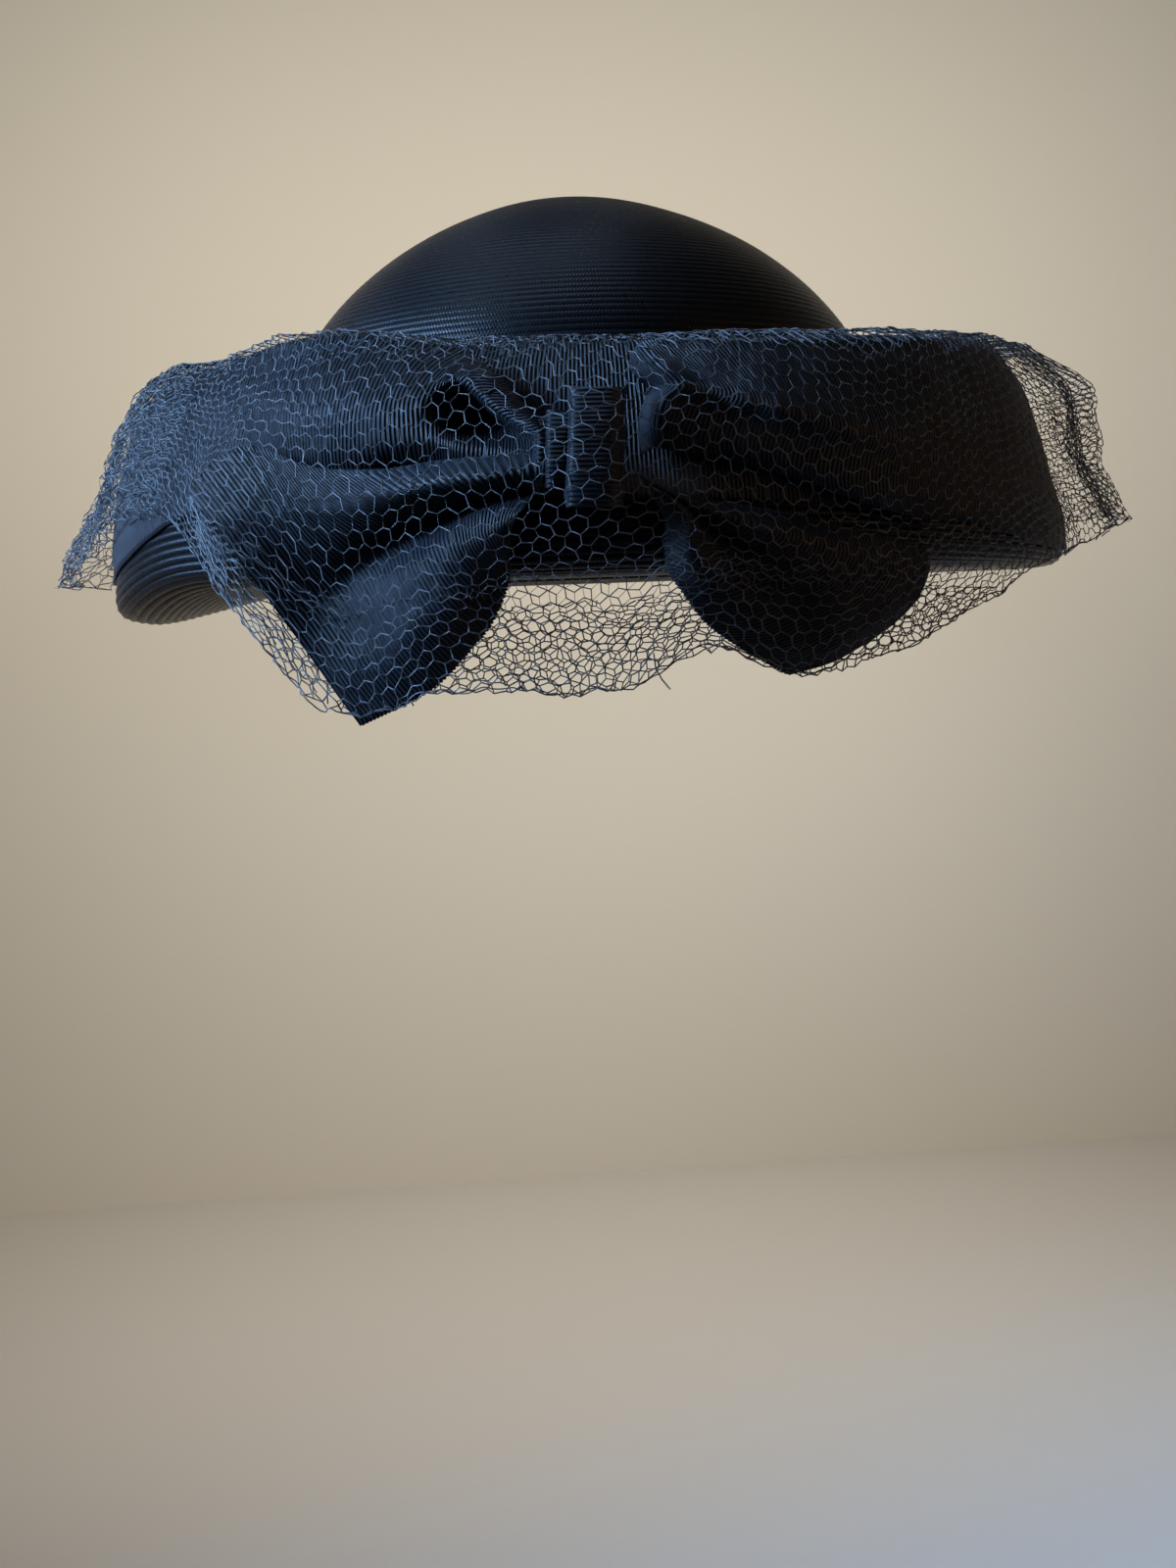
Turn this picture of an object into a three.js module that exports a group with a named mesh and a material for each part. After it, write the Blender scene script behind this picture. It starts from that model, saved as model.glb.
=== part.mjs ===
// Saucer hat: a straw crown and a turned-up straw brim, faced with ribbon and trimmed with a bow and a veil.
// Millimetres, +Z up, the front of the hat towards -Y. The origin is the middle of the head opening.
// Left and right are as seen from the front, so right is +X. Turns are degrees round the hat from +X.
import * as THREE from "three";

const strawWall = 2; // thickness of the braid
const ribbonWall = 1.2; // thickness of the ribbon, with its ribs
const bowWall = 1.1;
const netWall = 1.2; // the veil's outer form
const seamGap = 0.9; // between the band and the straw
const around = 56; // steps round the hat
const frontTurn = -90;

// Crown, from its foot to its top: half width at the sides, and height.
const crownRows = [
  { side: 86.5, z: 0 },
  { side: 90.5, z: 9 },
  { side: 94.5, z: 24 },
  { side: 95.5, z: 43 },
  { side: 94.5, z: 59 },
  { side: 90, z: 73 },
  { side: 82, z: 84.5 },
  { side: 71.5, z: 95 },
  { side: 58, z: 105 },
  { side: 41.5, z: 113.5 },
  { side: 22, z: 120 },
];
const crownTop = 122.5;
const crownLength = 1.14; // front-to-back size over side-to-side size
const crownLean = -2.5; // how far the top stands to one side

// Brim, from the head opening out and up to the rim: distance from the middle and height, on four sides.
const brimRows = [
  { right: 90, rightZ: 2, front: 102.2, frontZ: 2, left: 90, leftZ: 2, back: 102.2, backZ: 2 },
  { right: 110, rightZ: 0.5, front: 118, frontZ: 1, left: 110, leftZ: 0.5, back: 118, backZ: 1 },
  { right: 133, rightZ: -0.5, front: 136, frontZ: 0.5, left: 131, leftZ: 0.5, back: 136, backZ: 0 },
  { right: 148, rightZ: -0.5, front: 149, frontZ: 2, left: 147, leftZ: 1.5, back: 149, backZ: 1 },
  { right: 154, rightZ: 2, front: 153.5, frontZ: 8, left: 155.5, leftZ: 5, back: 154, backZ: 5 },
  { right: 153, rightZ: 12, front: 152.5, frontZ: 18, left: 155, leftZ: 17, back: 153, backZ: 14 },
  { right: 149, rightZ: 27, front: 148.5, frontZ: 29, left: 153, leftZ: 30, back: 149, backZ: 29 },
  { right: 145, rightZ: 41, front: 144.5, frontZ: 40, left: 149.5, leftZ: 43.5, back: 145, backZ: 43 },
  { right: 140.5, rightZ: 54.5, front: 140.5, frontZ: 50, left: 144, leftZ: 55.5, back: 140, backZ: 55 },
  { right: 133, rightZ: 66, front: 136.5, frontZ: 58, left: 134, leftZ: 64, back: 133, backZ: 65 },
];
const firstWallRow = 4; // the row where the brim has turned up
const sag = { turn: 190, halfTurn: 34, depth: 10.5 }; // the soft brim drops at one side, below its rim

// Height of the lower edge of the band, by turn.
const bandFoot = [
  { turn: -180, z: 4.5 },
  { turn: -170, z: 2.5 },
  { turn: -160, z: 6 },
  { turn: -153, z: 9.5 },
  { turn: -141, z: 18 },
  { turn: -135, z: 20.5 },
  { turn: -125, z: 22 },
  { turn: -90, z: 19 },
  { turn: -55, z: 14.5 },
  { turn: -45, z: 9.5 },
  { turn: -32, z: 5 },
  { turn: -22, z: 3.5 },
  { turn: 0, z: 4 },
  { turn: 90, z: 8 },
  { turn: 180, z: 4.5 },
];
const bandInside = 14; // how far the band comes down inside the rim

// Uniform Catmull-Rom through a list of numbers, at a place counted in list steps.
function through(values, at) {
  const last = values.length - 1;
  const i = Math.min(Math.max(Math.floor(at), 0), last - 1);
  const t = at - i;
  const [b, c] = [values[i], values[i + 1]];
  const a = i > 0 ? values[i - 1] : 2 * b - c;
  const d = i + 2 <= last ? values[i + 2] : 2 * c - b;
  return b + 0.5 * t * (c - a + t * (2 * a - 5 * b + 4 * c - d + t * (3 * (b - c) + d - a)));
}

const column = (rows, name, at) => through(rows.map((row) => row[name]), at);

// Straight lines through the rows of a table whose first column grows.
function lookUp(rows, key, name, value) {
  const i = Math.max(1, rows.findIndex((row) => row[key] >= value));
  const [a, b] = [rows[i - 1], rows[i]];
  return THREE.MathUtils.mapLinear(value, a[key], b[key], a[name], b[name]);
}

const radians = THREE.MathUtils.degToRad;

// A wall of even thickness on a grid of points, closed at its rims. A closed grid joins its last
// column to its first, and a top point closes its last row.
function wallOn(grid, thickness, closed = false, top = null) {
  const rows = grid.length;
  const columns = grid[0].length;
  const steps = closed ? columns : columns - 1;
  const points = grid.flat();
  if (top) points.push(top);
  const id = (i, j) => i * columns + (j % columns);
  const faces = [];
  for (let i = 0; i + 1 < rows; i++)
    for (let j = 0; j < steps; j++) {
      const [a, b, c, d] = [id(i, j), id(i, j + 1), id(i + 1, j + 1), id(i + 1, j)];
      faces.push([a, b, c], [a, c, d]);
    }
  if (top)
    for (let j = 0; j < steps; j++) faces.push([id(rows - 1, j), id(rows - 1, j + 1), points.length - 1]);

  const middle = new THREE.BufferGeometry().setFromPoints(points);
  middle.setIndex(faces.flat());
  middle.computeVertexNormals();
  const normals = middle.getAttribute("normal");
  const normal = new THREE.Vector3();
  const side = (half) =>
    points.map((point, k) => point.clone().addScaledVector(normal.fromBufferAttribute(normals, k), half));
  const both = [...side(thickness / 2), ...side(-thickness / 2)];
  const under = points.length;

  const index = [];
  for (const [a, b, c] of faces) index.push(a, b, c, under + a, under + c, under + b);
  const rim = (a, b) => index.push(b, a, under + a, b, under + a, under + b);
  for (let j = 0; j < steps; j++) {
    rim(id(0, j), id(0, j + 1));
    if (!top) rim(id(rows - 1, j + 1), id(rows - 1, j));
  }
  if (!closed)
    for (let i = 0; i + 1 < rows; i++) {
      rim(id(i + 1, 0), id(i, 0));
      rim(id(i, columns - 1), id(i + 1, columns - 1));
    }
  const solid = new THREE.BufferGeometry().setFromPoints(both);
  solid.setIndex(index);
  return solid;
}

// A point of the brim's middle surface: turn in degrees round the hat, and place along brimRows.
function brimPoint(turn, at) {
  const [c, s] = [Math.cos(radians(turn)), Math.sin(radians(turn))];
  const [sideways, endways] = [c > 0 ? "right" : "left", s > 0 ? "back" : "front"];
  const away = Math.abs(((turn - sag.turn + 540) % 360) - 180) / sag.halfTurn;
  const drop = away < 1 ? sag.depth * Math.cos((away * Math.PI) / 2) ** 2 : 0;
  const spread =
    THREE.MathUtils.smoothstep(at, 0, firstWallRow - 1) *
    (1 - THREE.MathUtils.smoothstep(at, firstWallRow, brimRows.length - 1));
  return new THREE.Vector3(
    column(brimRows, sideways, at) * c,
    column(brimRows, endways, at) * s,
    column(brimRows, sideways + "Z", at) * c * c + column(brimRows, endways + "Z", at) * s * s - drop * spread,
  );
}

// Unit vector out of the brim's wall, and unit vector up it.
function brimFrame(turn, at) {
  const step = 0.05;
  const up = brimPoint(turn, at).sub(brimPoint(turn, at - step)).normalize();
  const along = brimPoint(turn + 1, at).sub(brimPoint(turn - 1, at)).normalize();
  return { up, out: along.cross(up).normalize() };
}

const turnsRound = Array.from({ length: around }, (_, j) => (360 * j) / around);

function crown() {
  const level = (row) =>
    turnsRound.map(
      (turn) =>
        new THREE.Vector3(
          row.side * Math.cos(radians(turn)) + (crownLean * row.z) / crownTop,
          row.side * crownLength * Math.sin(radians(turn)),
          row.z,
        ),
    );
  return wallOn(crownRows.map(level), strawWall, true, new THREE.Vector3(crownLean, 0, crownTop));
}

function brim() {
  const places = [0, 1, 2, 2.6, 3.1, 3.6, 4.1, 5, 6, 7, 8, 9];
  return wallOn(places.map((at) => turnsRound.map((turn) => brimPoint(turn, at))), strawWall, true);
}

// Place along brimRows where the wall reaches a height.
function wallPlace(turn, z) {
  let [low, high] = [firstWallRow - 1, brimRows.length - 1];
  for (let k = 0; k < 24; k++) {
    const middle = (low + high) / 2;
    if (brimPoint(turn, middle).z < z) low = middle;
    else high = middle;
  }
  return low;
}

function brimBand() {
  const off = strawWall / 2 + seamGap + ribbonWall / 2;
  const rim = brimRows.length - 1;
  const onWall = (turn, at, lift) => brimPoint(turn, at).addScaledVector(brimFrame(turn, at).out, lift);
  const signed = (turn) => (turn > 180 ? turn - 360 : turn);
  const rows = [0, 0.2, 0.4, 0.6, 0.8, 1].map((share) =>
    turnsRound.map((turn) => {
      const foot = wallPlace(turn, lookUp(bandFoot, "turn", "z", signed(turn)));
      return onWall(turn, foot + share * (rim - foot), off);
    }),
  );
  rows.push(turnsRound.map((turn) => brimPoint(turn, rim).addScaledVector(brimFrame(turn, rim).up, off)));
  for (const down of [0, bandInside])
    rows.push(
      turnsRound.map((turn) => onWall(turn, wallPlace(turn, brimPoint(turn, rim).z - down), -off)),
    );
  return wallOn(rows, ribbonWall, true);
}

// A point in front of the wall: sideways place, height, and how far it stands off the wall.
function frontPoint(x, z, lift) {
  const side = x > 0 ? "right" : "left";
  const rows = brimRows.slice(firstWallRow);
  const reach = (name) => {
    if (z <= rows[0][name + "Z"]) return rows[0][name];
    const top = rows.at(-1);
    if (z >= top[name + "Z"]) return top[name];
    return lookUp(rows, name + "Z", name, z);
  };
  const off = lift + strawWall / 2;
  const [wide, deep] = [reach(side) + off, reach("front") + off];
  return new THREE.Vector3(x, -deep * Math.sqrt(1 - (x / wide) ** 2), z);
}

// Ribbon on a table of sections, each from its upper edge to its lower edge, with lifts at even shares between.
function ribbonGrid(sections, along, across) {
  const grid = [];
  for (let i = 0; i <= along; i++) {
    const at = (i / along) * (sections.length - 1);
    const row = [];
    for (let j = 0; j <= across; j++) {
      const share = j / across;
      const swell = 4 * share * (1 - share) * column(sections, "swell", at);
      const x = THREE.MathUtils.lerp(column(sections, "topX", at), column(sections, "lowX", at), share) + swell;
      const z = THREE.MathUtils.lerp(column(sections, "topZ", at), column(sections, "lowZ", at), share);
      const lifts = sections.map((section) => through(section.lifts, share * (section.lifts.length - 1)));
      row.push(frontPoint(x, z, through(lifts, at)));
    }
    grid.push(row);
  }
  return grid;
}

// A loop is its front ribbon, a fold at its outer end, and the ribbon that goes back behind it.
function loopOn(sections, back) {
  const front = ribbonGrid(sections, 10, 7);
  const behind = sections.map((section) => ({ ...section, lifts: section.lifts.map(() => back) }));
  const rear = ribbonGrid(behind, 5, 7).reverse();
  return wallOn([...front, ...rear], bowWall);
}

const loopBack = 4; // lift of the ribbon that goes back behind a loop
const loopLeft = [
  { topX: -12, topZ: 49, lowX: -12, lowZ: 36, swell: 0, lifts: [12, 13.5, 11, 13, 12] },
  { topX: -27, topZ: 57.5, lowX: -28, lowZ: 32, swell: 0, lifts: [9.5, 13, 9, 12.5, 10] },
  { topX: -44, topZ: 61, lowX: -44, lowZ: 29, swell: 0, lifts: [7.5, 12.5, 14, 12, 7.5] },
  { topX: -63, topZ: 63.5, lowX: -64, lowZ: 28, swell: 0, lifts: [7, 10.5, 12.5, 11, 6.5] },
  { topX: -82, topZ: 63, lowX: -79, lowZ: 30, swell: 0, lifts: [6.5, 8.5, 9.5, 8.5, 6] },
  { topX: -98, topZ: 60.5, lowX: -92, lowZ: 36, swell: 0, lifts: [6, 6.5, 6.5, 6, 5.5] },
];
const loopRight = [
  { topX: 12, topZ: 52, lowX: 12, lowZ: 33, swell: 0, lifts: [12, 13.5, 11, 12.5, 11.5] },
  { topX: 26, topZ: 57.5, lowX: 27, lowZ: 27, swell: 0, lifts: [9.5, 14, 12, 11.5, 9] },
  { topX: 46, topZ: 58.5, lowX: 48, lowZ: 23.5, swell: 0, lifts: [7.5, 12, 13.5, 10.5, 7] },
  { topX: 69, topZ: 60, lowX: 70, lowZ: 21.5, swell: 0, lifts: [7, 10, 11.5, 9, 6] },
  { topX: 88, topZ: 61, lowX: 90, lowZ: 22.5, swell: 0, lifts: [6.5, 7.5, 8, 7, 5.5] },
  { topX: 102, topZ: 62, lowX: 104, lowZ: 32, swell: 0, lifts: [6, 6.5, 6.5, 6, 5.5] },
];
const tailLeft = [
  { topX: -12, topZ: 27, lowX: -19, lowZ: 9, swell: 0, lifts: [12.5, 15, 11, 14, 13] },
  { topX: -36, topZ: 27, lowX: -21, lowZ: 0, swell: 0, lifts: [10.5, 15, 10.5, 14.5, 13] },
  { topX: -58, topZ: 29, lowX: -29, lowZ: -15, swell: 0, lifts: [9.5, 12.5, 9, 14, 12] },
  { topX: -78, topZ: 32.5, lowX: -42, lowZ: -28, swell: 0, lifts: [9.5, 10.5, 9.5, 12.5, 11] },
  { topX: -95, topZ: 37, lowX: -53, lowZ: -34, swell: 0, lifts: [8.4, 9, 9, 10.5, 10] },
  { topX: -111, topZ: 28, lowX: -62, lowZ: -37.5, swell: 0, lifts: [6.8, 7.6, 8.2, 9, 9] },
];
const tailRight = [
  { topX: 14, topZ: 20, lowX: 15, lowZ: 2, swell: 0, lifts: [12.5, 14, 11.5, 14, 13] },
  { topX: 28, topZ: 17, lowX: 20, lowZ: -8, swell: 0, lifts: [11, 12.5, 11, 13, 12] },
  { topX: 46, topZ: 16.5, lowX: 29, lowZ: -16, swell: 1, lifts: [9, 11.5, 11, 12, 11] },
  { topX: 64, topZ: 15.5, lowX: 39, lowZ: -23, swell: 3, lifts: [7.5, 10, 10.5, 11, 10.5] },
  { topX: 80, topZ: 12.5, lowX: 46, lowZ: -27, swell: 6, lifts: [6.5, 8.5, 9.5, 10, 10] },
  { topX: 91, topZ: 4, lowX: 52, lowZ: -30, swell: 9, lifts: [5.5, 7, 8, 9, 9] },
];

// The knot stands in front of the inner ends of the loops and tails.
const knotRows = [
  { topX: -10.5, topZ: 50, lowX: 10.5, lowZ: 49, swell: 0, lifts: [15, 16.5, 15.5, 17, 15] },
  { topX: -11, topZ: 44, lowX: 10.5, lowZ: 44, swell: 0, lifts: [16, 19, 17.5, 20, 16.5] },
  { topX: -11, topZ: 30, lowX: 9.5, lowZ: 30, swell: 0, lifts: [17, 20.5, 18.5, 21, 17] },
  { topX: -12, topZ: 17, lowX: 8.5, lowZ: 16, swell: 0, lifts: [17, 20, 18, 20, 17] },
  { topX: -11.5, topZ: 9, lowX: 7.5, lowZ: 8, swell: 0, lifts: [16, 18, 16.5, 17, 15.5] },
];

// Veil, by turn from the front towards the right: height of its hem, how far its fold stands above the rim,
// and its lift from the wall, from hem to fold.
const veilColumns = [
  { turn: -106, hem: 0, fold: 3, lifts: [6, 6, 5, 5] },
  { turn: -97, hem: 1, fold: 3, lifts: [19, 16, 7, 6] },
  { turn: -86, hem: 1, fold: 3, lifts: [21, 18, 9, 7] },
  { turn: -72, hem: 12, fold: 4, lifts: [12, 12, 11, 8] },
  { turn: -64, hem: 20, fold: 4.5, lifts: [11, 11.5, 11, 8] },
  { turn: -56, hem: 22, fold: 5, lifts: [10, 11, 11, 8] },
  { turn: -48, hem: 20, fold: 6, lifts: [11, 13, 13, 9] },
  { turn: -42, hem: 6.5, fold: 6, lifts: [12, 14, 14, 10] },
  { turn: -36, hem: -7, fold: 7.5, lifts: [14, 16, 16, 12] },
  { turn: -29, hem: -24, fold: 8, lifts: [15, 19, 21, 14] },
  { turn: -22, hem: -34, fold: 8, lifts: [15, 21, 23, 14] },
  { turn: -14, hem: -30, fold: 6, lifts: [20, 22, 23, 14] },
  { turn: -6, hem: -29.5, fold: 3, lifts: [24, 25, 28, 18] },
  { turn: 2, hem: -29, fold: 3, lifts: [25, 26, 29, 19] },
  { turn: 9, hem: -21, fold: 4, lifts: [20, 22, 24, 15] },
  { turn: 16, hem: -27, fold: 5, lifts: [17, 20, 22, 14] },
  { turn: 21, hem: -28, fold: 5, lifts: [16, 18, 21, 13] },
  { turn: 30, hem: -20, fold: 5, lifts: [14, 17, 19, 12] },
  { turn: 40, hem: -13, fold: 5, lifts: [13, 14, 15, 10] },
  { turn: 52, hem: -2, fold: 5, lifts: [12, 12, 12, 9] },
  { turn: 70, hem: 6, fold: 6, lifts: [17, 18, 18, 14] },
  { turn: 84, hem: 9, fold: 6, lifts: [24, 25, 25, 22] },
  { turn: 97, hem: 10, fold: 4, lifts: [23, 24, 23, 19] },
  { turn: 106, hem: 9, fold: 3, lifts: [8, 10, 9, 7] },
];

function veil() {
  const rim = brimRows.length - 1;
  const shares = [0, 0.2, 0.4, 0.6, 0.8, 1];
  const grid = veilColumns.map(({ turn, hem, fold, lifts }) => {
    const round = frontTurn + turn;
    const [c, s] = [Math.cos(radians(round)), Math.sin(radians(round))];
    const edge = brimPoint(round, rim);
    const points = shares.map((share) => {
      const z = THREE.MathUtils.lerp(hem, edge.z + fold, share);
      const base = brimPoint(round, Math.max(wallPlace(round, z), firstWallRow));
      const lift = through(lifts, share * (lifts.length - 1)) + strawWall / 2;
      return new THREE.Vector3(base.x + lift * c, base.y + lift * s, z);
    });
    return [...points, new THREE.Vector3(edge.x, edge.y, edge.z + fold + 2)];
  });
  return wallOn(grid, netWall);
}

const straw = { color: 0x14161b, roughness: 0.45, metalness: 0 };
const ribbon = { color: 0x10131d, roughness: 0.6, metalness: 0 };
const net = { color: 0x0c0d10, roughness: 0.7, metalness: 0 };

const hat = new THREE.Group();
function add(name, geometry, finish) {
  const mesh = new THREE.Mesh(geometry, new THREE.MeshStandardMaterial(finish));
  mesh.name = name;
  hat.add(mesh);
}

add("crown", crown(), straw);
add("brim", brim(), straw);
add("brim_band", brimBand(), ribbon);
add("bow_loop_left", loopOn(loopLeft, loopBack), ribbon);
add("bow_loop_right", loopOn(loopRight, loopBack), ribbon);
add("bow_tail_left", wallOn(ribbonGrid(tailLeft, 10, 7), bowWall), ribbon);
add("bow_tail_right", wallOn(ribbonGrid(tailRight, 10, 7), bowWall), ribbon);
add("bow_knot", wallOn(ribbonGrid(knotRows, 6, 8), bowWall), ribbon);
add("veil", veil(), net);

export default hat;
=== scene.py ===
import bpy
import bmesh
import math
from mathutils import Matrix, Vector, noise
from mathutils.bvhtree import BVHTree


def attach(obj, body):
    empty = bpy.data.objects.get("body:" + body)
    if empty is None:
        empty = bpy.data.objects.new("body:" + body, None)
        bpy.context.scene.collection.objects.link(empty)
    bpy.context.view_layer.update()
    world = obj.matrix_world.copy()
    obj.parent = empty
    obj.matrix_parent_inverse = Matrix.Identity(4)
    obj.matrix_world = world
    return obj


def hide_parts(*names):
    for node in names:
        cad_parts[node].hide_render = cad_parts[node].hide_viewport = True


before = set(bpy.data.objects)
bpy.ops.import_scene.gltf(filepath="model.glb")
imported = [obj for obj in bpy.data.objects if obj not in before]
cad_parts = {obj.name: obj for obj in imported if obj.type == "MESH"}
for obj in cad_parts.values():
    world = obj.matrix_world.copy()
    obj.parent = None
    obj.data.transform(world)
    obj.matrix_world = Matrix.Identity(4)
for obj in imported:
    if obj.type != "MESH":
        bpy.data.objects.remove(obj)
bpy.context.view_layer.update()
print("frame loaded")

mm = 0.001  # shapes are worked out in millimetres and shrunk to metres when a piece is finished

# Camera, tipped and rolled a little because the hat is worn tilted
sight = {"place": (-3.5, -621, -4.5), "down": 6.05, "roll": -2.0, "lens": 41.6}


def makeCamera(look):
    data = bpy.data.cameras.new("camera")
    data.lens = look["lens"]
    data.clip_start = 0.02
    data.clip_end = 30
    camera = bpy.data.objects.new("camera", data)
    bpy.context.scene.collection.objects.link(camera)
    tip = Matrix.Rotation(math.radians(90 - look["down"]), 4, "X")
    roll = Matrix.Rotation(math.radians(look["roll"]), 4, "Z")
    camera.matrix_world = Matrix.Translation(Vector(look["place"]) * mm) @ tip @ roll
    bpy.context.scene.camera = camera


makeCamera(sight)
print("camera set")


# A smooth curve through a list of numbers or vectors, at a place counted in list steps
def through(values, at):
    last = len(values) - 1
    i = min(max(math.floor(at), 0), last - 1)
    t = at - i
    b, c = values[i], values[i + 1]
    a = values[i - 1] if i > 0 else b * 2 - c
    d = values[i + 2] if i + 2 <= last else c * 2 - b
    return b + (c - a + (a * 2 - b * 5 + c * 4 - d + ((b - c) * 3 + d - a) * t) * t) * (0.5 * t)


# Straight lines through the rows of a table whose key column grows
def between(rows, key, name, value):
    if value <= rows[0][key]:
        return rows[0][name]
    for a, b in zip(rows, rows[1:]):
        if value <= b[key]:
            return a[name] + (b[name] - a[name]) * (value - a[key]) / (b[key] - a[key])
    return rows[-1][name]


def smooth(low, high, value):
    t = min(max((value - low) / (high - low), 0), 1)
    return t * t * (3 - 2 * t)


# Even noise from -1 to 1, the same on each run
def wobble(x, y, z, size):
    return noise.noise(Vector((x, y, z)) / size)


def wire(tree, kind, inputs, **settings):
    node = tree.nodes.new(kind)
    for key, value in settings.items():
        setattr(node, key, value)
    for key, value in inputs.items():
        if isinstance(value, bpy.types.NodeSocket):
            tree.links.new(value, node.inputs[key])
        else:
            node.inputs[key].default_value = value
    return node


def calc(tree, operation, *values):
    return wire(tree, "ShaderNodeMath", dict(enumerate(values)), operation=operation).outputs[0]


def blend(tree, share, low, high):
    node = wire(tree, "ShaderNodeMix", {"Factor": share}, data_type="RGBA")
    for socket, value in ((node.inputs[6], low), (node.inputs[7], high)):
        if isinstance(value, bpy.types.NodeSocket):
            tree.links.new(value, socket)
        else:
            socket.default_value = value
    return node.outputs[2]


def blankMaterial(name):
    material = bpy.data.materials.new(name)
    material.use_nodes = True
    tree = material.node_tree
    return material, tree, tree.nodes["Principled BSDF"]


# A sheet of small squares: place gives each corner in mm from its shares along and across, and
# measure gives its place on the flat cloth in mm
def clothGrid(along, across, place, measure):
    bm = bmesh.new()
    bmesh.ops.create_grid(bm, x_segments=along, y_segments=across, size=0.5)
    layer = bm.loops.layers.uv.new("cloth")
    for face in bm.faces:
        face.smooth = True
        for loop in face.loops:
            loop[layer].uv = measure(loop.vert.co.x + 0.5, loop.vert.co.y + 0.5)
    for vert in bm.verts:
        vert.co = place(vert.co.x + 0.5, vert.co.y + 0.5)
    return bm


# Gives an open sheet its thickness, half to each side
def thicken(bm, thickness):
    bm.normal_update()
    source = bm.verts.layers.float_vector.new("source")
    for vert in bm.verts:
        vert.co += vert.normal * (thickness / 2)
        vert[source] = vert.co
    bmesh.ops.solidify(bm, geom=bm.faces[:], thickness=thickness)
    for vert in bm.verts:  # in a sharp crease the second side stays close to the first
        shift = vert.co - vert[source]
        if shift.length > thickness * 1.5:
            vert.co = vert[source] + shift.normalized() * thickness
    bm.verts.layers.float_vector.remove(source)
    bmesh.ops.recalc_face_normals(bm, faces=bm.faces[:])


# Turns a shape in mm into a piece in metres that stands for its CAD node
def finishPiece(bm, name, material, node):
    bmesh.ops.scale(bm, vec=(mm, mm, mm), verts=bm.verts[:])
    mesh = bpy.data.meshes.new(name)
    bm.to_mesh(mesh)
    bm.free()
    mesh.materials.append(material)
    piece = bpy.data.objects.new(name, mesh)
    bpy.context.scene.collection.objects.link(piece)
    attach(piece, "root")
    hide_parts(node)
    print(name, len(mesh.polygons), "faces")
    return piece


# Straw: glossy braid sewn in rows, with a fine plait along each row; its colour carries painted shade in the
# seams between rows and painted highlights on the plait's crossings
strawLook = {
    # deep is painted shade for the seams between rows and the plait's hollows, light is painted highlight on
    # the plait's crossings
    "deep": (0.0012, 0.0014, 0.0018, 1),
    "light": (0.009, 0.010, 0.012, 1),
    "roughness": 0.3,
    "specular": 0.1,
    "plait": 0.9,  # mm along a row for one crossing of the plait
    "relief": 0.00008,
}


def makeStraw(look):
    material, tree, shader = blankMaterial("straw")
    cloth = wire(tree, "ShaderNodeUVMap", {}, uv_map="cloth").outputs["UV"]
    flat = wire(tree, "ShaderNodeSeparateXYZ", {"Vector": cloth})
    turns = calc(tree, "MULTIPLY", flat.outputs["X"], 2 * math.pi / look["plait"])
    rows = calc(tree, "MULTIPLY", flat.outputs["Y"], 2 * math.pi)
    over = calc(tree, "SINE", calc(tree, "ADD", turns, rows))
    under = calc(tree, "SINE", calc(tree, "SUBTRACT", turns, rows))
    plait = calc(tree, "MULTIPLY_ADD", calc(tree, "MAXIMUM", over, under), 0.5, 0.5)
    # Painted shade and highlight: the colour darkens towards the seams between rows and lightens on the
    # plait's crossings
    valley = calc(tree, "ABSOLUTE", calc(tree, "SINE", calc(tree, "MULTIPLY", rows, 0.5)))
    grain = wire(tree, "ShaderNodeTexNoise", {"Vector": cloth, "Scale": 0.7, "Detail": 3.0}).outputs[0]
    shade = calc(tree, "MULTIPLY", calc(tree, "MULTIPLY_ADD", plait, 0.5, 0.5), valley)
    colour = blend(tree, shade, look["deep"], look["light"])
    height = calc(tree, "MULTIPLY_ADD", grain, 0.5, plait)
    bump = wire(tree, "ShaderNodeBump", {"Height": height, "Distance": look["relief"], "Strength": 1.0})
    tree.links.new(colour, shader.inputs["Base Color"])
    tree.links.new(bump.outputs["Normal"], shader.inputs["Normal"])
    roughness = calc(tree, "MULTIPLY_ADD", grain, 0.25, look["roughness"] - 0.12)
    tree.links.new(roughness, shader.inputs["Roughness"])
    shader.inputs["Specular IOR Level"].default_value = look["specular"]
    return material


# Ribbon: wide grosgrain, with ribs across its length; its colour is painted near black in the grooves between
# the ribs as painted shade
ribbonLook = {
    # the groove colour is painted shade for the hollows between the ribs
    "grooveShade": (0.0003, 0.0004, 0.0008, 1),
    "rib": (0.0105, 0.0145, 0.0245, 1),
    "roughness": 0.46,
    "specular": 0.22,
    "pitch": 1.2,  # mm from rib to rib
    "relief": 0.00034,
    "sheen": 0.06,
    "sheenTint": (0.8, 0.9, 1.0, 1),
}


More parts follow.
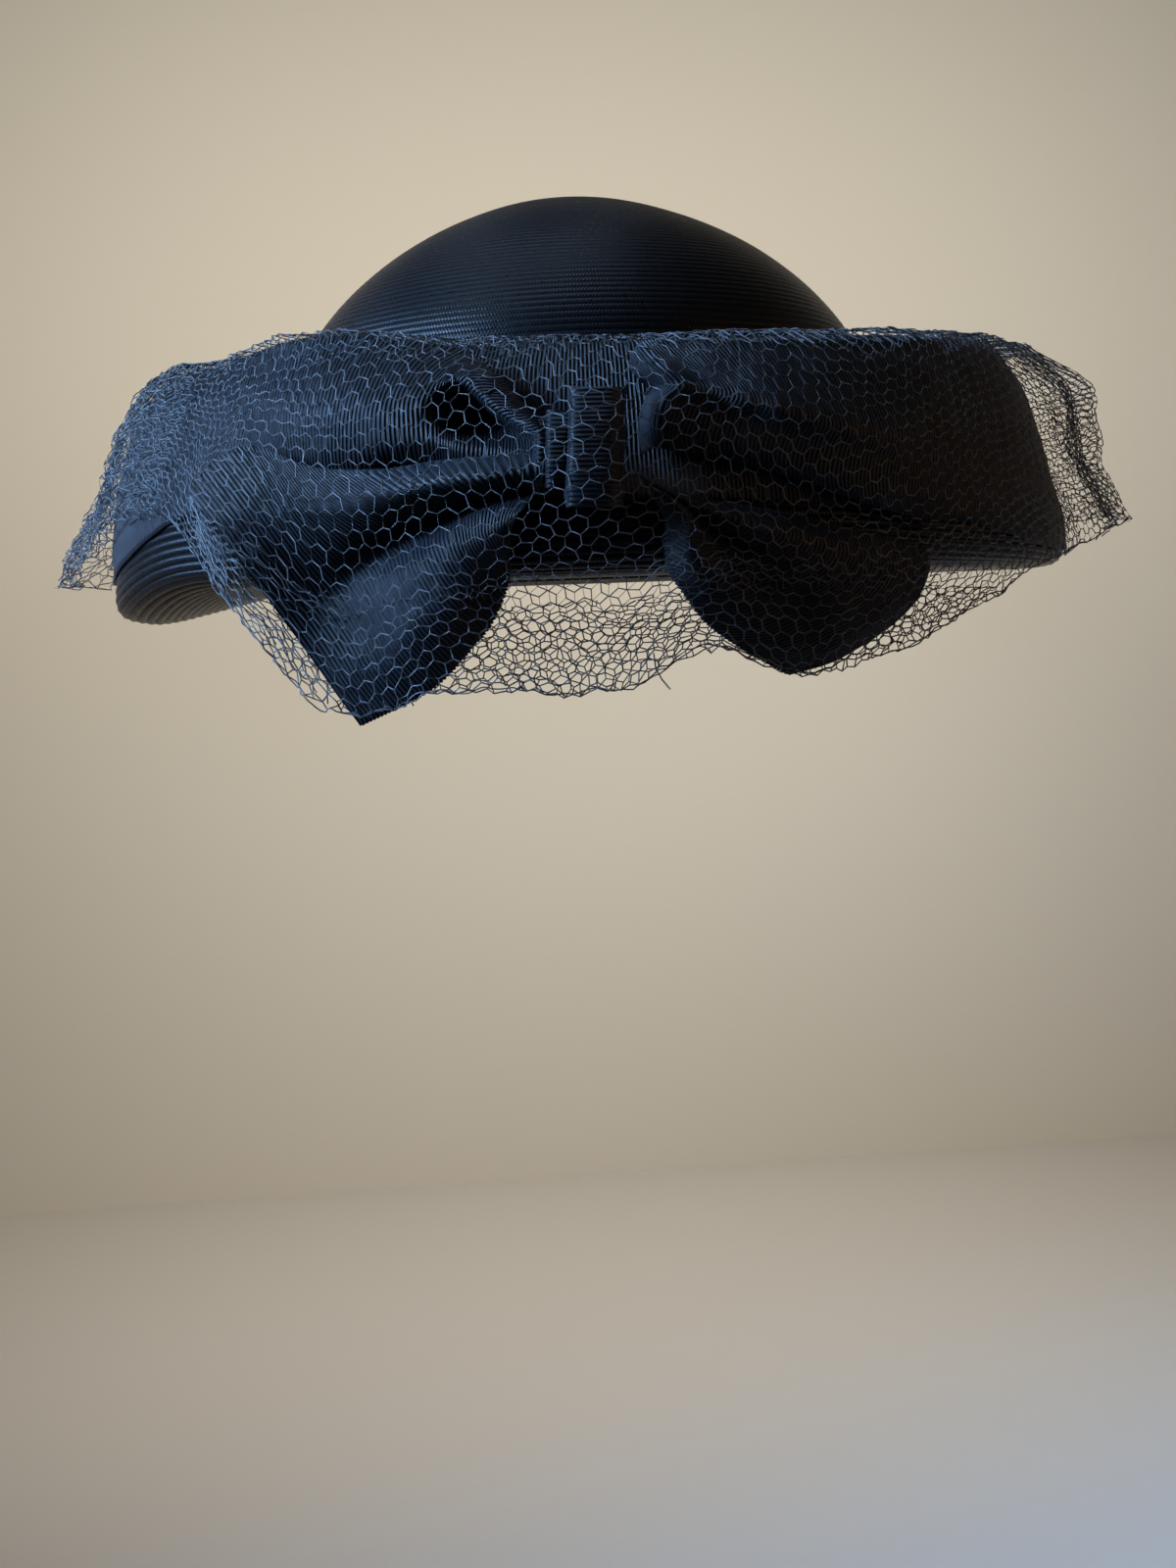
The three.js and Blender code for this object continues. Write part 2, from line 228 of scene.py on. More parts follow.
def makeRibbon(look):
    material, tree, shader = blankMaterial("ribbon")
    cloth = wire(tree, "ShaderNodeUVMap", {}, uv_map="cloth").outputs["UV"]
    flat = wire(tree, "ShaderNodeSeparateXYZ", {"Vector": cloth})
    drift = wire(tree, "ShaderNodeTexNoise", {"Vector": cloth, "Scale": 0.06, "Detail": 1.0}).outputs[0]
    along = calc(tree, "MULTIPLY_ADD", drift, 0.6, flat.outputs["X"])
    wave = calc(tree, "SINE", calc(tree, "MULTIPLY", along, 2 * math.pi / look["pitch"]))
    rib = calc(tree, "POWER", calc(tree, "MULTIPLY_ADD", wave, 0.5, 0.5), 1.3)
    stretch = wire(tree, "ShaderNodeMapping", {"Vector": cloth, "Scale": (3.0, 0.35, 1)}).outputs[0]
    thread = wire(tree, "ShaderNodeTexNoise", {"Vector": stretch, "Scale": 0.9, "Detail": 3.0}).outputs[0]
    fine = calc(tree, "SINE", calc(tree, "MULTIPLY", flat.outputs["Y"], 2 * math.pi / 0.3))
    weave = calc(tree, "MULTIPLY_ADD", thread, 0.25, calc(tree, "MULTIPLY", fine, 0.03))
    height = calc(tree, "ADD", rib, weave)
    # Painted shade: the grooves between ribs are coloured near black; the thread noise is the ribbon's own
    # uneven tone
    shadeAndTone = calc(tree, "MULTIPLY", rib, calc(tree, "MULTIPLY_ADD", thread, 0.9, 0.4))
    colour = blend(tree, shadeAndTone, look["grooveShade"], look["rib"])
    bump = wire(tree, "ShaderNodeBump", {"Height": height, "Distance": look["relief"], "Strength": 1.0})
    tree.links.new(colour, shader.inputs["Base Color"])
    tree.links.new(bump.outputs["Normal"], shader.inputs["Normal"])
    shader.inputs["Roughness"].default_value = look["roughness"]
    shader.inputs["Specular IOR Level"].default_value = look["specular"]
    shader.inputs["Sheen Weight"].default_value = look["sheen"]
    shader.inputs["Sheen Roughness"].default_value = 0.4
    shader.inputs["Sheen Tint"].default_value = look["sheenTint"]
    return material


# Net: stiff dull thread
netLook = {"dark": (0.018, 0.02, 0.025, 1), "light": (0.1, 0.104, 0.112, 1), "roughness": 0.5, "sheen": 0.1}


def makeNet(look):
    material, tree, shader = blankMaterial("net")
    spot = wire(tree, "ShaderNodeTexCoord", {}).outputs["Object"]
    patch = wire(tree, "ShaderNodeTexNoise", {"Vector": spot, "Scale": 160.0, "Detail": 2.0}).outputs[0]
    twist = wire(tree, "ShaderNodeTexNoise", {"Vector": spot, "Scale": 2500.0, "Detail": 1.0}).outputs[0]
    bump = wire(tree, "ShaderNodeBump", {"Height": twist, "Distance": 0.00008, "Strength": 0.6})
    tree.links.new(blend(tree, patch, look["dark"], look["light"]), shader.inputs["Base Color"])
    tree.links.new(bump.outputs["Normal"], shader.inputs["Normal"])
    shader.inputs["Roughness"].default_value = look["roughness"]
    shader.inputs["Sheen Weight"].default_value = look["sheen"]
    return material


straw = makeStraw(strawLook)
ribbon = makeRibbon(ribbonLook)
net = makeNet(netLook)
print("materials made")

# Crown, from its foot to its top: half width at the sides, and height
crown = {
    "side": [86.5, 90.5, 94.5, 95.5, 94.5, 90, 82, 71.5, 58, 41.5, 22, 0],
    "height": [0, 9, 24, 43, 59, 73, 84.5, 95, 105, 113.5, 120, 122.5],
    "length": 1.14,  # front-to-back size over side-to-side size
    "lean": -2.5,  # how far the top stands to one side
    "wall": 1.9,
    "row": 2.05,  # from one row of braid to the next
    "ridge": 0.26,  # how far a row stands proud of its seams
    "around": 168,
    "uneven": 0.5,
}


# A braid row stands proud in its middle and dips where it is sewn to the next
def braid(place, depth):
    return depth * (abs(math.sin(math.pi * place)) ** 0.6 - 0.6)


def makeCrown(c):
    fine = 400  # steps in the smooth outline
    places = [(len(c["side"]) - 1) * k / fine for k in range(fine + 1)]
    curve = [Vector((through(c["side"], place), 0, through(c["height"], place))) for place in places]
    run = [0]
    for a, b in zip(curve, curve[1:]):
        run.append(run[-1] + (b - a).length)
    rows = round(run[-1] / c["row"])

    def at(share):
        reach = share * run[-1]
        i = max(1, next((k for k, r in enumerate(run) if r >= reach), len(run) - 1))
        t = (reach - run[i - 1]) / (run[i] - run[i - 1])
        point = curve[i - 1].lerp(curve[i], t)
        slope = (curve[i] - curve[i - 1]).normalized()
        return point, Vector((slope.z, 0, -slope.x))

    bm = bmesh.new()
    mark = bm.verts.layers.float.new("row")
    chain = []
    outside = rows * 4
    for k in range(outside + 1):  # outside, from the top down
        point, out = at(1 - k / outside)
        place = rows * (1 - k / outside)
        corner = bm.verts.new(point + out * (c["wall"] / 2 + braid(place, c["ridge"])))
        corner[mark] = place
        chain.append(corner)
    inside = rows * 2
    for k in range(inside + 1):  # inside, from the foot up
        point, out = at(k / inside)
        place = rows * k / inside
        corner = bm.verts.new(point - out * (c["wall"] / 2 + braid(place, c["ridge"] * 0.6)))
        corner[mark] = place
        chain.append(corner)
    chain[0].co.x = 0
    chain[-1].co.x = 0
    edges = [bm.edges.new(pair) for pair in zip(chain, chain[1:])]
    bmesh.ops.spin(
        bm, geom=chain + edges, cent=(0, 0, 0), axis=(0, 0, 1),
        angle=2 * math.pi, steps=c["around"], use_merge=True,
    )
    bmesh.ops.remove_doubles(bm, verts=bm.verts[:], dist=0.005)
    bmesh.ops.recalc_face_normals(bm, faces=bm.faces[:])
    layer = bm.loops.layers.uv.new("cloth")
    for face in bm.faces:
        face.smooth = True
        middle = face.calc_center_median()
        turn = math.atan2(middle.y, middle.x)
        for loop in face.loops:
            spot = loop.vert.co
            own = math.atan2(spot.y, spot.x) if spot.xy.length > 0.1 else turn
            own += 2 * math.pi * round((turn - own) / (2 * math.pi))
            loop[layer].uv = (own * 80, loop.vert[mark])
    for vert in bm.verts:
        vert.co.y *= c["length"]
        vert.co.x += c["lean"] * vert.co.z / c["height"][-1]
        vert.co.z += c["uneven"] * wobble(*vert.co, 60)
    return finishPiece(bm, "straw_crown", straw, "crown")


makeCrown(crown)

# Brim, from the head opening out and up to the rim: distance from the middle and height, on four sides
brim = {
    "right": [90, 110, 133, 148, 154, 153, 149, 145, 140.5, 133],
    "rightZ": [2, 0.5, -0.5, -0.5, 2, 12, 27, 41, 54.5, 66],
    "front": [102.2, 118, 136, 149, 153.5, 152.5, 148.5, 144.5, 140.5, 136.5],
    "frontZ": [2, 1, 0.5, 2, 8, 18, 29, 40, 50, 58],
    "left": [90, 110, 131, 147, 155.5, 155, 153, 149.5, 144, 134],
    "leftZ": [2, 0.5, 0.5, 1.5, 5, 17, 30, 43.5, 55.5, 64],
    "back": [102.2, 118, 136, 149, 154, 153, 149, 145, 140, 133],
    "backZ": [2, 1, 0, 1, 5, 14, 29, 43, 55, 65],
    "turnedUp": 4,  # the row where it has turned up
    "sag": {"turn": 190, "half": 34, "depth": 10.5},  # the soft brim drops at one side, below its rim
    "wall": 1.8,
    "rows": 50,
    "ridge": 0.8,
    "around": 200,
}
rimRow = len(brim["right"]) - 1


# A point of the brim's middle surface: turn in degrees round the hat, and place along its rows
def brimPoint(turn, at):
    c, s = math.cos(math.radians(turn)), math.sin(math.radians(turn))
    side, end = ("right" if c > 0 else "left"), ("back" if s > 0 else "front")
    away = abs((turn - brim["sag"]["turn"] + 540) % 360 - 180) / brim["sag"]["half"]
    drop = brim["sag"]["depth"] * math.cos(away * math.pi / 2) ** 2 if away < 1 else 0
    spread = smooth(0, brim["turnedUp"] - 1, at) * (1 - smooth(brim["turnedUp"], rimRow, at))
    return Vector((
        through(brim[side], at) * c,
        through(brim[end], at) * s,
        through(brim[side + "Z"], at) * c * c + through(brim[end + "Z"], at) * s * s - drop * spread,
    ))


# Unit vector out of the brim's wall, and unit vector up it
def brimFrame(turn, at):
    up = (brimPoint(turn, at) - brimPoint(turn, at - 0.05)).normalized()
    along = brimPoint(turn + 1, at) - brimPoint(turn - 1, at)
    return along.cross(up).normalized(), up


# Place along the rows where the wall reaches a height
def wallPlace(turn, z):
    low, high = brim["turnedUp"] - 1, rimRow
    for _ in range(16):
        middle = (low + high) / 2
        if brimPoint(turn, middle).z < z:
            low = middle
        else:
            high = middle
    return low


def makeBrim(b):
    fine = 180
    front = [brimPoint(-90, rimRow * k / fine) for k in range(fine + 1)]
    run = [0]
    for low, high in zip(front, front[1:]):
        run.append(run[-1] + (high - low).length)

    def rowPlace(share):  # rows of braid are as wide everywhere as at the front
        reach = share * run[-1]
        i = max(1, next((k for k, r in enumerate(run) if r >= reach - 1e-6), fine))
        return rimRow * (i - 1 + (reach - run[i - 1]) / (run[i] - run[i - 1])) / fine

    across = b["rows"] * 4
    places = [rowPlace(k / across) for k in range(across + 1)]
    bm = clothGrid(
        b["around"], across,
        lambda u, v: brimPoint(360 * u, places[round(v * across)]),
        lambda u, v: (u * 2 * math.pi * 130, v * b["rows"]),
    )
    mark = bm.verts.layers.float.new("row")
    layer = bm.loops.layers.uv["cloth"]
    for face in bm.faces:
        for loop in face.loops:
            loop.vert[mark] = loop[layer].uv.y
    bmesh.ops.remove_doubles(bm, verts=bm.verts[:], dist=0.01)
    bmesh.ops.recalc_face_normals(bm, faces=bm.faces[:])
    bm.normal_update()
    for vert in bm.verts:
        vert.co += vert.normal * braid(vert[mark], b["ridge"])
    thicken(bm, b["wall"])
    return finishPiece(bm, "straw_brim", straw, "brim")


makeBrim(brim)

# Band: ribbon laid round the wall, over the rim and down inside it
band = {
    "foot": [
        {"turn": -180, "z": 4.5}, {"turn": -170, "z": 2.5}, {"turn": -160, "z": 6}, {"turn": -153, "z": 9.5},
        {"turn": -141, "z": 18}, {"turn": -135, "z": 20.5}, {"turn": -125, "z": 22}, {"turn": -90, "z": 19},
        {"turn": -55, "z": 14.5}, {"turn": -45, "z": 9.5}, {"turn": -32, "z": 5}, {"turn": -22, "z": 3.5},
        {"turn": 0, "z": 4}, {"turn": 90, "z": 8}, {"turn": 180, "z": 4.5},
    ],
    "off": 2.2,  # from the middle of the straw to the middle of the ribbon
    "sewn": 1.65,  # the same at its foot, where the edge is sewn down
    "thick": 0.9,
    "inside": 14,  # how far it goes down inside the rim
    "flat": (0.090, 0.975),
}


def makeBand(b):
    outside, over, inside = 30, 8, 10
    length = b["flat"][1] / mm
    along = 480

    def column(u):
        turn = 360 * u - 180
        foot = wallPlace(turn, between(b["foot"], "turn", "z", turn) + 0.25 * wobble(turn, 0, 0, 9))
        points = []
        for k in range(outside + 1):
            at = foot + (rimRow - foot) * k / outside
            out, up = brimFrame(turn, at)
            swell = 0.35 * wobble(turn * 2.6, k * 2.2, 3, 24) + 0.25 * wobble(turn * 2.6, k * 2.2, 9, 9)
            puff = 0.5 * math.sin(math.pi * k / outside)
            off = b["sewn"] + (b["off"] - b["sewn"] + puff + swell) * smooth(0, 5, k)
            points.append(brimPoint(turn, at) + out * off)
        out, up = brimFrame(turn, rimRow)
        rim = brimPoint(turn, rimRow)
        for k in range(1, over):
            bend = math.pi * k / over
            points.append(rim + (out * math.cos(bend) + up * math.sin(bend)) * b["off"])
        for k in range(inside + 1):
            at = wallPlace(turn, rim.z - b["inside"] * k / inside)
            points.append(brimPoint(turn, at) - brimFrame(turn, at)[0] * b["off"])
        return points

    columns = [column(k / along) for k in range(along)]
    across = outside + over + inside
    width = b["flat"][0] / mm
    bm = clothGrid(
        along, across,
        lambda u, v: columns[round(u * along) % along][round(v * across)],
        lambda u, v: (u * length, v * width),
    )
    bmesh.ops.remove_doubles(bm, verts=bm.verts[:], dist=0.01)
    bmesh.ops.recalc_face_normals(bm, faces=bm.faces[:])
    thicken(bm, b["thick"])
    piece = finishPiece(bm, "ribbon_band", ribbon, "brim_band")
    return piece


bandPiece = makeBand(band)
print("brim dressed")


# A point in front of the wall: sideways place, height, and how far it stands off the wall
def frontPoint(x, z, lift):
    side = "right" if x > 0 else "left"
    first = brim["turnedUp"]

    def reach(name):
        sizes, heights = brim[name][first:], brim[name + "Z"][first:]
        if z <= heights[0]:
            return sizes[0]
        for k in range(1, len(sizes)):
            if z <= heights[k]:
                t = (z - heights[k - 1]) / (heights[k] - heights[k - 1])
                return sizes[k - 1] + (sizes[k] - sizes[k - 1]) * t
        return sizes[-1]

    wide, deep = reach(side) + lift + 1, reach("front") + lift + 1
    return Vector((x, -deep * math.sqrt(1 - min(abs(x / wide), 0.98) ** 2), z))


# Bow ribbon on a net of (sideways place, height, lift off the wall): a row for each section from the
# knot outwards, and in a row from the upper edge to the lower edge
def makeBowRibbon(shape, name, node):
    net = [[Vector(point) for point in row] for row in shape["net"]]
    if "back" in shape:  # a loop turns under at its outer end and goes back towards the knot
        for row in reversed(shape["net"][shape["backFrom"]:-1]):
            net.append([Vector((x, z, shape["back"])) for x, z, lift in row])
    last, high = len(net) - 1, len(net[0]) - 1
    pitch, wide = ribbonLook["pitch"], shape["wide"]

    fine = 200  # sections worked out along the ribbon
    line = []
    for step in range(fine + 1):
        line.append([through([row[k] for row in net], step / fine * last) for k in range(high + 1)])

    def lengths(v):  # the length run to each section, down one line of the ribbon
        places = [frontPoint(*through(points, v * high)) for points in line]
        gone = [0]
        for a, b in zip(places, places[1:]):
            gone.append(gone[-1] + (b - a).length)
        return gone

    run = lengths(0.5)
    ribs = round(run[-1] / pitch)
    along, across = ribs * 4, shape.get("across", 42)
    strips = [lengths(n / across) if "cut" in shape else run for n in range(across + 1)]

    # Steps are even along the middle of the ribbon. Near a cut end they are even along every line of it,
    # so that the ribs run with the cut.
    def pointsAt(k, gone):
        left, kept = run[-1] * (1 - k / along), 0
        if "cut" in shape:
            kept = min(shape["cut"] * run[-1], 0.9 * gone[-1])
        reach = gone[-1] - left
        if left > kept:
            reach = (gone[-1] - kept) * (run[-1] - left) / (run[-1] - kept)
        i = max(1, next((m for m, r in enumerate(gone) if r >= reach - 1e-9), fine))
        part = (reach - gone[i - 1]) / (gone[i] - gone[i - 1])
        return [a.lerp(b, part) for a, b in zip(line[i - 1], line[i])]

    columns = []
    for k in range(along + 1):
        edge = 0.5 + 0.5 * math.sin(math.pi / 2 * k)  # each rib ends in a small scallop
        column = []
        for n in range(across + 1):
            v = n / across
            points = pointsAt(k, strips[n])
            if n in (0, across):
                v += (0.45 * edge / wide) * (1 if n else -1)
            x, z, lift = through(points, v * high)
            ripple = 0.35 * wobble(x, z, shape["seed"], 7) + 0.5 * wobble(x, z, shape["seed"] + 50, 16)
            column.append(frontPoint(x, z, lift + ripple * smooth(2.5, 6, lift)))
        columns.append(column)
    length = ribs * pitch
    slant = shape.get("slant", [0, 0])

    def measure(u, v):
        if shape.get("level"):
            return -columns[round(u * along)][round(v * across)].z, v * wide
        return u * length - through(slant, v * (len(slant) - 1)), v * wide

    bm = clothGrid(along, across, lambda u, v: columns[round(u * along)][round(v * across)], measure)
    thicken(bm, shape.get("thick", 0.8))
    piece = finishPiece(bm, name, ribbon, node)
    return piece


loopLeft = {
    "net": [
        [(-11.9, 36.8, 13), (-12.1, 35.4, 15), (-12.5, 34.4, 12), (-12.6, 33.2, 8),
         (-12.6, 31.3, 10), (-12.6, 29.4, 12), (-12.7, 27.8, 11)],
        [(-18.3, 45.2, 12), (-21.2, 44.0, 15), (-24.3, 43.0, 13.5), (-23.3, 40.1, 4.5),
         (-22.4, 35.9, 5), (-22.3, 32.0, 10), (-22.4, 28.6, 9.5)],
        [(-25.7, 53.4, 10), (-28.8, 51.8, 14), (-31.8, 49.6, 14.5), (-31.9, 45.3, 3.4),
         (-31.5, 38.5, 4.4), (-31.6, 33.4, 11), (-32.1, 29.1, 8.5)],
        [(-32.9, 58.8, 8.5), (-36.0, 54.3, 12), (-38.6, 49.5, 14.5), (-40.2, 44.6, 14),
         (-40.4, 39.7, 13), (-40.0, 34.7, 13), (-39.8, 30.0, 8)],
        [(-46.8, 62.2, 7.8), (-48.1, 56.3, 11.5), (-49.3, 49.7, 14.5), (-50.3, 44.1, 15.5),
         (-50.5, 38.2, 14.5), (-50.3, 33.8, 12.5), (-49.9, 30.2, 7)],
        [(-61.2, 64.8, 7.2), (-62.0, 57.0, 11), (-62.5, 49.8, 14), (-63.2, 43.0, 15),
         (-63.8, 37.2, 13), (-64.2, 32.3, 10), (-64.3, 28.6, 6)],
        [(-80.4, 65.6, 6.6), (-79.9, 57.6, 9.2), (-79.9, 50.2, 10.8), (-79.7, 43.8, 11.2),
         (-79.5, 38.6, 10.5), (-79.2, 34.3, 9), (-79.0, 30.1, 6)],
        [(-98.0, 62.6, 5.8), (-95.9, 56.0, 6.4), (-94.8, 51.3, 6.8), (-94.0, 47.3, 7),
         (-93.0, 43.4, 6.8), (-92.5, 39.9, 6.4), (-91.7, 36.7, 5.6)],
    ],
    "back": 4.2, "backFrom": 3,  # how far off the wall the ribbon goes back, and from which section
    "slant": [0, 3, 5, 6, 6, 6, 6],  # how far the ribs lean back, from the upper edge to the lower
    "wide": 42, "flat": (0.045, 0.170), "held": "gathered", "seed": 1,
}
loopRight = {
    "net": [
        [(10.4, 52.3, 9), (12.5, 49.5, 10), (15.3, 47.3, 7), (15.0, 44.6, 3.2),
         (13.6, 40.9, 3), (12.6, 35.8, 3.4), (13.1, 30.1, 5)],
        [(13.4, 57.8, 10), (17.0, 52.2, 14), (22.1, 46.7, 15), (18.8, 43.4, 13.5),
         (17.2, 39.4, 12), (16.7, 35.7, 9), (17.4, 31.6, 6)],
        [(18.0, 59.1, 9.5), (23.5, 52.2, 13), (28.6, 45.9, 14.5), (25.3, 42.2, 12.5),
         (23.4, 37.8, 11), (22.3, 34.0, 9), (23.4, 30.3, 5.5)],
        [(28.7, 59.3, 9), (34.5, 50.9, 12.5), (39.4, 43.5, 15), (37.0, 39.6, 11.5),
         (35.4, 35.2, 10), (34.6, 31.6, 8), (35.3, 28.1, 4)],
        [(43.7, 59.1, 8.5), (49.2, 49.7, 11.5), (54.2, 39.4, 14.5), (52.2, 34.4, 11),
         (50.6, 30.3, 9), (50.1, 26.9, 7), (50.9, 23.6, 3.6)],
        [(59.9, 59.6, 7.5), (65.4, 48.8, 10), (70.0, 35.6, 12.5), (68.2, 29.9, 10.5),
         (67.1, 25.4, 9), (66.8, 21.4, 7), (68.0, 17.8, 3.6)],
        [(77.7, 60.4, 7), (82.6, 48.3, 8.5), (87.0, 34.9, 10), (85.4, 27.8, 8.8),
         (84.2, 22.4, 8), (84.1, 17.5, 6.5), (85.5, 12.7, 4)],
        [(98.9, 62.3, 6), (99.8, 51.2, 6.4), (101.5, 40.1, 6.8), (101.4, 32.4, 6.6),
         (99.9, 24.8, 6.4), (97.3, 18.1, 6), (94.8, 11.0, 5)],
    ],
    "back": 4.2, "backFrom": 2, "wide": 46, "flat": (0.050, 0.180), "held": "gathered", "seed": 2,
}
tailLeft = {
    "net": [
        [(-11.2, 30.5, 11), (-11.4, 27.2, 15), (-12.3, 23.0, 13), (-13.7, 21.1, 8),
         (-15.4, 18.9, 13), (-17.8, 16.0, 15), (-20.7, 12.6, 13)],
        [(-25.2, 30.1, 11), (-25.1, 24.7, 16.5), (-25.9, 21.1, 12), (-28.3, 18.1, 5),
         (-30.0, 14.7, 13), (-27.6, 10.4, 15), (-21.0, 6.3, 13)],
        [(-40.4, 29.5, 9), (-39.9, 23.5, 16.5), (-41.5, 18.9, 11), (-45.5, 11.5, 4),
         (-41.6, 6.1, 13), (-33.3, 3.1, 15.5), (-21.8, -1.4, 12)],
        [(-54.6, 28.3, 9), (-55.3, 21.7, 14.5), (-56.7, 15.2, 11), (-57.3, 5.0, 4),
         (-48.8, 0.0, 12.5), (-37.3, -5.0, 16), (-25.6, -10.1, 12)],
        [(-72.6, 29.9, 11), (-72.0, 21.0, 13.5), (-71.3, 11.0, 11.5), (-66.6, -1.3, 5.5),
         (-55.6, -7.7, 10.5), (-44.0, -12.4, 15), (-30.9, -16.6, 11)],
        [(-91.2, 36.6, 15.5), (-86.4, 23.4, 15.5), (-81.4, 9.5, 13), (-74.0, -4.8, 8.5),
         (-62.9, -14.3, 9.5), (-51.8, -20.4, 12.5), (-42.6, -27.7, 10.5)],
        [(-107.2, 27.0, 20), (-97.6, 15.0, 19), (-89.8, 3.4, 16.5), (-81.4, -8.9, 13.5),
         (-73.2, -20.5, 12), (-67.5, -28.9, 10.5), (-61.9, -36.8, 9.5)],
    ],
    "cut": 0.7,  # the share of its length over which the ribs run with the cut end
    "wide": 60, "across": 60, "flat": (0.075, 0.085), "held": "gathered", "seed": 3,
}
tailRight = {
    "net": [
        [(10.3, 25.4, 8), (11.5, 24.3, 9), (12.7, 23.1, 9), (13.9, 21.8, 9),
         (15.2, 20.5, 10), (17.6, 19.3, 12), (15.7, 18.3, 8)],
        [(21.4, 20.3, 6), (22.1, 18.6, 9), (22.8, 17.3, 9), (23.3, 16.2, 8),
         (23.4, 14.8, 10), (23.1, 13.2, 14.5), (18.3, 13.6, 8.5)],
        [(31.2, 17.0, 6), (30.9, 14.4, 10), (30.2, 12.0, 8.5), (29.0, 10.2, 7),
         (26.7, 8.4, 10), (23.9, 7.1, 15.5), (18.3, 7.3, 8.5)],
        [(42.6, 15.0, 6), (42.0, 11.1, 11), (40.1, 7.5, 11), (37.5, 4.7, 9),
         (33.0, 2.6, 10.5), (25.7, 0.8, 14.5), (18.6, 0.6, 9)],
        [(54.3, 12.6, 6), (53.6, 7.4, 10), (51.3, 2.5, 11), (47.4, -1.3, 10.5),
         (40.9, -4.5, 11), (31.3, -6.2, 13), (22.1, -5.4, 10.5)],
        [(67.2, 9.1, 5.5), (66.4, 2.9, 9), (63.4, -3.0, 10), (58.4, -7.9, 10.5),
         (51.0, -12.1, 10.5), (40.0, -14.6, 12), (28.0, -13.4, 11)],
        [(80.3, 6.0, 5.2), (80.4, -1.2, 8), (77.3, -7.8, 9), (71.5, -13.4, 9.5),
         (62.6, -18.4, 9.5), (50.8, -21.6, 10.5), (38.0, -20.8, 10)],
        [(88.9, 3.8, 5), (89.4, -2.0, 6), (85.8, -9.1, 7), (79.1, -15.1, 7.5),
         (69.9, -20.5, 8), (60.0, -24.9, 8.5), (49.3, -27.4, 8.5)],
    ],
    "cut": 0.7, "wide": 40, "flat": (0.050, 0.075), "held": "gathered", "seed": 4,
}
knot = {
    "pleats": [  # across the knot: sideways place, height of the upper and the lower end, lift
        (-13.4, 39.4, 23.0, 12), (-12.6, 39.1, 22.8, 15), (-11.1, 39.0, 22.7, 15), (-10.7, 40.4, 22.3, 13.5),
        (-10.3, 41.1, 21.6, 16.5), (-9.3, 40.9, 21.5, 18), (-5.1, 40.8, 21.4, 17.5), (-4.7, 44.1, 19.3, 16),
        (-4.1, 46.5, 16.5, 19), (-3.0, 46.3, 16.3, 21), (1.2, 46.1, 16.2, 21), (6.0, 46.1, 16.1, 20),
        (8.8, 46.3, 16.1, 17), (9.4, 46.7, 16.2, 14),
    ],
    "press": [2.5, 0.3, 0, 0.3, 2.5],  # how far the ends of the pleats bend back, from the upper to the lower
    "lean": [0.8, 2.1],  # how far the narrow and the wide pleats lean to the left
    "level": True,  # the ribs lie level
    "wide": 26, "across": 78, "thick": 0.6, "flat": (0.032, 0.036), "held": "gathered", "seed": 5,
}


def pleatRow(k):
    share, (narrow, broad) = k / 4, knot["lean"]
    row = []
    for x, top, foot, lift in knot["pleats"]:
        lean = narrow + (broad - narrow) * smooth(-9.3, -4.1, x)
        row.append((x - share * lean, top + (foot - top) * share, lift - knot["press"][k]))
    return row


knot["net"] = [pleatRow(k) for k in range(5)]

bow = [
    makeBowRibbon(loopLeft, "ribbon_loop_left", "bow_loop_left"),
    makeBowRibbon(loopRight, "ribbon_loop_right", "bow_loop_right"),
    makeBowRibbon(tailLeft, "ribbon_tail_left", "bow_tail_left"),
    makeBowRibbon(tailRight, "ribbon_tail_right", "bow_tail_right"),
    makeBowRibbon(knot, "ribbon_knot", "bow_knot"),
]
print("bow tied")

